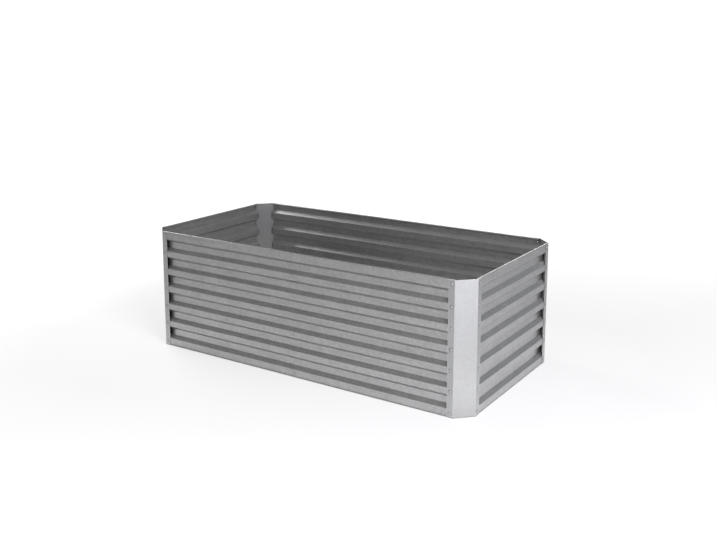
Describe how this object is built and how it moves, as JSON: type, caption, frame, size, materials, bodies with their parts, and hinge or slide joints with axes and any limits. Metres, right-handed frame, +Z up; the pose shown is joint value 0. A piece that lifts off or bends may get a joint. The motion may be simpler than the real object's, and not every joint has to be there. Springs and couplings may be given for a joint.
{
  "type": "raised garden bed",
  "caption": "Open, bottomless raised garden bed: ribbed steel walls bolted to folded corner posts with slanting corners, and a tie rod across the middle.",
  "frame": {"origin": "on the ground, under the middle of the bed", "axes": "+X along the length, with the back wall at +Y; +Z up; the front long wall faces -Y"},
  "size_m": [1.8378, 0.928, 0.606],
  "materials": {
    "wall_steel": "satin grey coating on ribbed zinc-coated sheet",
    "post_steel": "satin grey coating on folded sheet",
    "plated_steel": "bright zinc plate"
  },
  "bodies": {
    "root": {"corner_post_front_left": "post_steel", "corner_post_front_right": "post_steel", "corner_post_back_right": "post_steel", "corner_post_back_left": "post_steel", "front_wall_left_half": "wall_steel", "front_wall_right_half": "wall_steel", "back_wall_right_half": "wall_steel", "back_wall_left_half": "wall_steel", "right_end_wall": "wall_steel", "left_end_wall": "wall_steel", "tie_rod": "plated_steel", "tie_rod_cap_nut_front": "plated_steel", "tie_rod_washer_front": "plated_steel", "tie_rod_nut_front": "plated_steel", "tie_rod_cap_nut_back": "plated_steel", "tie_rod_washer_back": "plated_steel", "tie_rod_nut_back": "plated_steel", "bolt_front_left_bottom": "plated_steel", "nut_front_left_bottom": "plated_steel", "bolt_front_left_top": "plated_steel", "nut_front_left_top": "plated_steel", "bolt_front_right_bottom": "plated_steel", "nut_front_right_bottom": "plated_steel", "bolt_front_right_top": "plated_steel", "nut_front_right_top": "plated_steel", "bolt_front_seam_bottom": "plated_steel", "nut_front_seam_bottom": "plated_steel", "bolt_front_seam_top": "plated_steel", "nut_front_seam_top": "plated_steel", "bolt_back_right_bottom": "plated_steel", "nut_back_right_bottom": "plated_steel", "bolt_back_right_top": "plated_steel", "nut_back_right_top": "plated_steel", "bolt_back_left_bottom": "plated_steel", "nut_back_left_bottom": "plated_steel", "bolt_back_left_top": "plated_steel", "nut_back_left_top": "plated_steel", "bolt_back_seam_bottom": "plated_steel", "nut_back_seam_bottom": "plated_steel", "bolt_back_seam_top": "plated_steel", "nut_back_seam_top": "plated_steel", "bolt_right_front_bottom": "plated_steel", "nut_right_front_bottom": "plated_steel", "bolt_right_front_top": "plated_steel", "nut_right_front_top": "plated_steel", "bolt_right_back_bottom": "plated_steel", "nut_right_back_bottom": "plated_steel", "bolt_right_back_top": "plated_steel", "nut_right_back_top": "plated_steel", "bolt_left_back_bottom": "plated_steel", "nut_left_back_bottom": "plated_steel", "bolt_left_back_top": "plated_steel", "nut_left_back_top": "plated_steel", "bolt_left_front_bottom": "plated_steel", "nut_left_front_bottom": "plated_steel", "bolt_left_front_top": "plated_steel", "nut_left_front_top": "plated_steel"}
  },
  "joints": []
}
